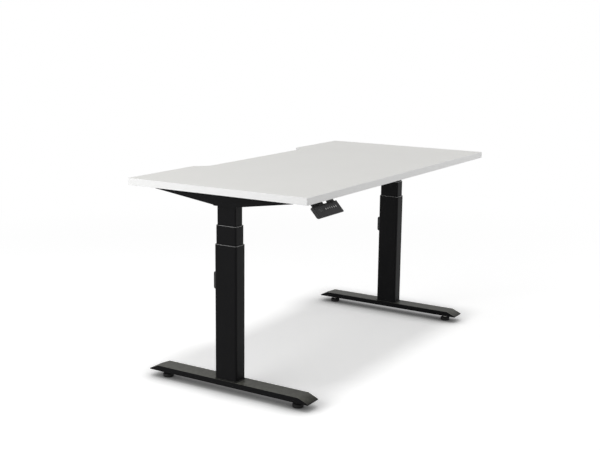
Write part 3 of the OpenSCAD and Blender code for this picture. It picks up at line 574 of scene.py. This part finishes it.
# %% Softened parts
SOFT_EDGES = {
    "side_arm": 0.9, "foot": 1.2, "column_cap": 1.0, "inner_nut": 0.2, "middle_shoe": 0.2,
    "gearbox": 1.0, "motor": 0.8, "drive_shaft": 0.1, "fixed_screw": 0.3, "screw_sleeve": 0.3,
}
BUSH_RIM = 1.4
for side in SIDES:
    for part, radius in SOFT_EDGES.items():
        softened(side + "_" + part, radius)
    for part in ("outer_bush", "middle_bush"):
        rim_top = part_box(side + "_" + part)[1].z
        softened(side + "_" + part, BUSH_RIM, look="bush_plastic", above=rim_top - 0.5 * MM)
for node, radius in {"end_rails": 0.5, "middle_rails": 0.4, "control_box": 1.0, "control_box_lid": 0.7,
                     "control_board": 0.15, "power_inlet": 0.4, "cable_clips": 0.5,
                     "motor_cables": 0.1, "handset_cable": 0.1}.items():
    softened(node, radius, 2)
print("softened parts done")

# %% [markdown]
# ## Fasteners with a place for the tool
# A bolt without a socket reads as a rivet. Each head's round face is found as the largest flat
# face of its own loose part, and a recess is sunk into it: every corner of the face sends one new
# corner inwards to where a ray would meet the socket's outline. A boolean could cut the same
# hole, but this keeps clean quads round it. A hexagon and a cross differ only in that outline.


# %% Sunk sockets
def loose_parts(form):
    """The faces of each part of a form that isn't joined to the others."""
    left = set(form.faces)
    while left:
        part, reached = set(), [left.pop()]
        while reached:
            face = reached.pop()
            part.add(face)
            near = {other for edge in face.edges for other in edge.link_faces} & left
            left -= near
            reached.extend(near)
        yield part


def hexagon(across_flats):
    """The outline of a hexagon socket: its reach at an angle."""
    return lambda angle: across_flats / 2 / math.cos(angle % (math.pi / 3) - math.pi / 6)


def cross(length, width):
    """The outline of a cross recess: its reach at an angle."""
    def reach(angle):
        off = abs((angle + math.pi / 4) % (math.pi / 2) - math.pi / 4)
        return length / 2 / math.cos(off) if math.tan(off) <= width / length else width / 2 / math.sin(off)
    return reach


def sink_socket(form, face, outline, depth):
    """Sinks a socket with an outline into the middle of a round face."""
    centre, out = face.calc_center_median(), face.normal.copy()
    rim = list(face.verts)
    mouth, floor_ring = [], []
    for corner in rim:
        ray = corner.co - centre
        reach = outline(math.atan2(ray.y, ray.x) % (2 * math.pi))
        spot = centre + ray.normalized() * reach * MM
        mouth.append(form.verts.new(spot))
        floor_ring.append(form.verts.new(spot - out * depth * MM))
    form.faces.remove(face)
    for i in range(len(rim)):
        form.faces.new((rim[i - 1], rim[i], mouth[i], mouth[i - 1]))
        form.faces.new((mouth[i - 1], mouth[i], floor_ring[i], floor_ring[i - 1]))
    form.faces.new(floor_ring)


def fasteners(node, radius, outline, depth):
    """Replaces a node of screws or bolts by softened ones with a socket in each head."""
    form = merged_copy(node)
    round_over(form, sharp_edges(form), radius * MM, 2)
    heads = []
    for part in loose_parts(form):
        level = [face for face in part if abs(face.normal.z) > 0.99]
        heads.append(max(level, key=lambda face: face.calc_area()))
    for head in heads:
        sink_socket(form, head, outline, depth)
    return finish_piece(form, node + "_soft", body_of[node], slot_of[node], [node])


for side in SIDES:
    fasteners(side + "_foot_bolts", 0.6, hexagon(6), 4)
fasteners("rail_screws", 0.6, hexagon(5), 2.5)
fasteners("desktop_screws", 0.9, cross(5.4, 1.3), 1.8)
print("sockets sunk into", sum("bolts" in name or "screws" in name for name in nodes), "kinds of fastener")

# %% [markdown]
# ## Levelling glides
# A glide is a hard rubber pad on a threaded steel stem. The thread is a real helix: a triangular
# tooth is spun round the stem while it climbs, which makes one closed coil with its root buried in
# the stem's core. A bump texture could fake it, but it would vanish at the edge of the stem.


# %% Glides
PAD_HEIGHT = 14
PAD_EDGE = 2.0
PAD_ROUNDING = 0.6
COLLAR_RADIUS = 9
COLLAR_GAP = 0.3
STEM_RADIUS = 5
STEM_PITCH = 1.5
STEM_DEPTH = 0.8
ROOT_BURIED = 0.32


def turned(form, profile, middle, segments=48):
    """Adds the solid that a profile of (radius, height) points makes round an upright axis."""
    points = [form.verts.new(middle + Vector((radius, 0, height))) for radius, height in profile]
    edges = [form.edges.new(pair) for pair in zip(points, points[1:])]
    bmesh.ops.spin(form, geom=points + edges, cent=middle, axis=(0, 0, 1), angle=2 * math.pi,
                   steps=segments, use_duplicate=False)
    bmesh.ops.remove_doubles(form, verts=form.verts, dist=1e-6)
    bmesh.ops.recalc_face_normals(form, faces=form.faces)


def threaded(form, middle, radius, low, high, segments=24):
    """Adds a closed helical ridge round an upright axis, from low to high, in metres."""
    turns = round((high - low) / (STEM_PITCH * MM)) - 1
    pitch = (high - low) / (turns + 1)
    root = radius - (STEM_DEPTH + ROOT_BURIED) * MM
    tooth = [(root, 0.04 * pitch), (radius, pitch / 2), (root, 0.96 * pitch)]
    points = [form.verts.new(middle + Vector((x, 0, low + z))) for x, z in tooth]
    section = form.faces.new(points)
    bmesh.ops.spin(form, geom=points + list(section.edges) + [section], cent=middle, axis=(0, 0, 1),
                   angle=2 * math.pi * turns, steps=turns * segments, dvec=(0, 0, pitch / segments),
                   use_duplicate=False)
    bmesh.ops.recalc_face_normals(form, faces=form.faces)


for side in SIDES:
    for end in ENDS:
        node = side + "_" + end + "_glide"
        low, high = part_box(node)
        middle = Vector(((low.x + high.x) / 2, (low.y + high.y) / 2, 0))
        pad = (high.x - low.x) / 2
        pad_top = PAD_HEIGHT * MM
        collar = COLLAR_RADIUS * MM
        collar_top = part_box(side + "_foot")[0].z - COLLAR_GAP * MM
        stem = STEM_RADIUS * MM
        core = (STEM_RADIUS - STEM_DEPTH) * MM
        edge = PAD_EDGE * MM
        form = bmesh.new()
        turned(form, [(0, 0), (pad - edge, 0), (pad, edge), (pad, pad_top - edge), (pad - edge, pad_top),
                      (collar, pad_top + edge), (0, pad_top + edge)], middle)
        round_over(form, sharp_edges(form, 30), PAD_ROUNDING * MM, 3)
        finish_piece(form, node + "_pad", body_of[node], slot_of[node], [node])
        form = bmesh.new()
        turned(form, [(0, pad_top), (collar, pad_top), (collar, collar_top), (core, collar_top),
                      (core, high.z), (0, high.z)], middle)
        threaded(form, middle, stem, collar_top + STEM_PITCH * MM, high.z - STEM_PITCH * MM)
        finish_piece(form, node + "_stem", body_of[node], slot_of[node], look="zinc_steel")
print("glides with pads", round(2 * pad / MM), "mm wide")

# %% [markdown]
# ## Weld beads and grommets
# Each outer tube is welded to the foot all round, and each motor cable leaves the control box
# through a soft grommet. The bead is a low ring with a rounded shoulder, a little wider than the
# tube; a grommet is a circle spun round the cable's own axis.

# %% Welds and grommets
BEAD = 2.6
GROMMET_RADIUS = 1.1
GROMMET_REACH = 0.8
for side in SIDES:
    low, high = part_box(side + "_outer_tube")
    reach = Vector((BEAD * MM, BEAD * MM, 0))
    bead = corner_box(low - reach, Vector((high.x, high.y, low.z + BEAD * MM)) + reach,
                      (TUBE_RADII["outer_tube"] + BEAD) * MM)
    shoulder = [edge for edge in sharp_edges(bead) if all(v.co.z > low.z + MM for v in edge.verts)]
    round_over(bead, shoulder, 0.9 * BEAD * MM, 4)
    finish_piece(bead, side + "_foot_weld", body_of[side + "_outer_tube"], "powder_coat")


def grommet(name, place, hole):
    """A rubber ring round a cable that runs along X."""
    form = bmesh.new()
    upright = Matrix.Rotation(math.radians(90), 4, "X")
    lift = Matrix.Translation(place + Vector((0, 0, hole)))
    ring = bmesh.ops.create_circle(form, radius=GROMMET_RADIUS * MM, segments=16, matrix=lift @ upright)
    bmesh.ops.spin(form, geom=ring["verts"] + list(form.edges), cent=place, axis=(1, 0, 0), angle=2 * math.pi,
                   steps=32, use_duplicate=False)
    bmesh.ops.remove_doubles(form, verts=form.verts, dist=1e-6)
    bmesh.ops.recalc_face_normals(form, faces=form.faces)
    return finish_piece(form, name, "top", "black_rubber")


box_low, box_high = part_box("control_box")
motor_low, motor_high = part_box("motor_cables")
motor_radius = (motor_high.y - motor_low.y) / 2
for side, wall in zip(SIDES, (box_low.x, box_high.x)):
    place = Vector((wall, (motor_low.y + motor_high.y) / 2, motor_high.z - motor_radius))
    grommet(side + "_motor_grommet", place, motor_radius + GROMMET_REACH * MM)
print("two weld beads, two grommets")

# %% [markdown]
# ## Handset
# The handset is a thin plastic shell with a flat panel of keys that slopes towards the user. Its
# keys carry printed signs: arrows for up and down, numbers for stored heights, and a ring that
# stores one. Signs could be painted in the material, but real ones are a film of ink a few
# hundredths of a millimetre thick, and as thin meshes they stay sharp at any distance.

# %% Handset shell and panel
for node, radius in {"handset_shell": 0.8, "handset_fascia": 0.5, "handset_bracket": 0.6,
                     "handset_board": 0.1, "display_window": 0.3}.items():
    softened(node, radius)
KEYS = ("button_up", "button_down", "button_one", "button_two", "button_three", "button_memory")
for node in KEYS:
    softened(node, 0.4)
print("handset with", len(KEYS), "keys")

# %% [markdown]
# ## Printed signs
# Each sign has to lie on its own key and travel with it, so its place is read off the key: the
# key's largest face that looks at the user gives a centre and an upright, and the sign is drawn
# flat in that plane. Digits are made of straight strokes, as on a stamped or printed key.


# %% Key signs
INK_HEIGHT = 0.05
INK_WIDTH = 0.9
DIGIT_W = 2.6
DIGIT_H = 5.0
ARROW_RADIUS = 3.0
RING_RADIUS = 2.8
SEGMENT_WIDTH = 0.5
DISPLAY_HEIGHT = 9
STROKES = {
    "button_one": [((0, 1), (0, -1)), ((-0.6, 0.6), (0, 1))],
    "button_two": [((-1, 1), (1, 1)), ((1, 1), (1, 0)), ((1, 0), (-1, 0)), ((-1, 0), (-1, -1)),
                   ((-1, -1), (1, -1))],
    "button_three": [((-1, 1), (1, 1)), ((1, 1), (1, -1)), ((1, 0), (-0.6, 0)), ((-1, -1), (1, -1))],
}


def key_plane(node):
    """A matrix at the middle of a key's face, with X along the row and Z out of the key."""
    form = merged_copy(node)
    front = max((face for face in form.faces if face.normal.z > 0.3 and face.normal.y < -0.3),
                key=lambda face: face.calc_center_median().dot(face.normal))
    centre = front.calc_center_bounds()
    out = front.normal.copy()
    form.free()
    along = Vector((1, 0, 0))
    up = out.cross(along)
    return Matrix((
        (along.x, up.x, out.x, centre.x),
        (along.y, up.y, out.y, centre.y),
        (along.z, up.z, out.z, centre.z),
        (0, 0, 0, 1),
    ))


def ink_bar(form, start, end, width):
    """Adds a flat bar of ink between two points, in millimetres."""
    start, end = Vector(start), Vector(end)
    along = end - start
    middle = (start + end) / 2
    turn = Matrix.Rotation(math.atan2(along.y, along.x), 4, "Z")
    size = Matrix.Diagonal((along.length + width, width, INK_HEIGHT, 1))
    place = Matrix.Translation((middle.x, middle.y, INK_HEIGHT / 2))
    bmesh.ops.create_cube(form, size=1, matrix=place @ turn @ size)


def ink_arrow(form, turn):
    """Adds a triangle that points up, turned by turn degrees."""
    spin = Matrix.Rotation(math.radians(90 + turn), 4, "Z")
    lift = Matrix.Translation((0, 0, INK_HEIGHT / 2))
    bmesh.ops.create_cone(form, cap_ends=True, segments=3, radius1=ARROW_RADIUS, radius2=ARROW_RADIUS,
                          depth=INK_HEIGHT, matrix=lift @ spin)


def ink_ring(form, radius, width, segments=32):
    """Adds a flat ring."""
    corners = [(math.cos(2 * math.pi * i / segments), math.sin(2 * math.pi * i / segments))
               for i in range(segments)]
    inner = [form.verts.new((x * (radius - width), y * (radius - width), INK_HEIGHT)) for x, y in corners]
    outer = [form.verts.new((x * radius, y * radius, INK_HEIGHT)) for x, y in corners]
    faces = [form.faces.new((inner[i - 1], outer[i - 1], outer[i], inner[i])) for i in range(segments)]
    sunk = bmesh.ops.extrude_face_region(form, geom=faces)
    lower = [item for item in sunk["geom"] if isinstance(item, bmesh.types.BMVert)]
    bmesh.ops.translate(form, verts=lower, vec=(0, 0, -INK_HEIGHT))
    bmesh.ops.recalc_face_normals(form, faces=form.faces)


def digit(form, x, y, height):
    """Adds the seven bars of one display digit with its middle at x, y."""
    half = height / 2
    wide = height * 0.27
    for level in (-1, 0, 1):
        ink_bar(form, (x - wide, y + level * half), (x + wide, y + level * half), SEGMENT_WIDTH)
    for across in (-1, 1):
        for level in (-1, 1):
            start = (x + across * wide, y + level * 0.12 * height)
            ink_bar(form, start, (x + across * wide, y + level * 0.38 * height), SEGMENT_WIDTH)


finishes["ink"] = finish("printed_ink", (0.80, 0.80, 0.78), roughness=0.5, grain=4000, bump=0.02,
                         clouds=200, cloud_low=0.85)
for node in KEYS:
    sign = bmesh.new()
    if node == "button_up":
        ink_arrow(sign, 0)
    elif node == "button_down":
        ink_arrow(sign, 180)
    elif node == "button_memory":
        ink_ring(sign, RING_RADIUS, INK_WIDTH)
    for start, end in STROKES.get(node, ()):
        scale = Vector((DIGIT_W / 2, DIGIT_H / 2))
        ink_bar(sign, Vector(start) * scale, Vector(end) * scale, INK_WIDTH)
    bmesh.ops.transform(sign, matrix=key_plane(node) @ Matrix.Scale(MM, 4), verts=sign.verts)
    finish_piece(sign, node + "_sign", body_of[node], slot_of[node], look="ink")

finishes["segment"] = finish("unlit_segment", (0.035, 0.04, 0.036), roughness=0.4, grain=3000, bump=0.02,
                             clouds=300, cloud_low=0.7)
digits = bmesh.new()
for place in (-1, 0, 1):
    digit(digits, place * DISPLAY_HEIGHT, 0, DISPLAY_HEIGHT)
bmesh.ops.transform(digits, matrix=key_plane("display_window") @ Matrix.Scale(MM, 4), verts=digits.verts)
finish_piece(digits, "display_digits", "top", slot_of["display_window"], look="segment")
print("signs on", len(KEYS), "keys, three unlit digits")
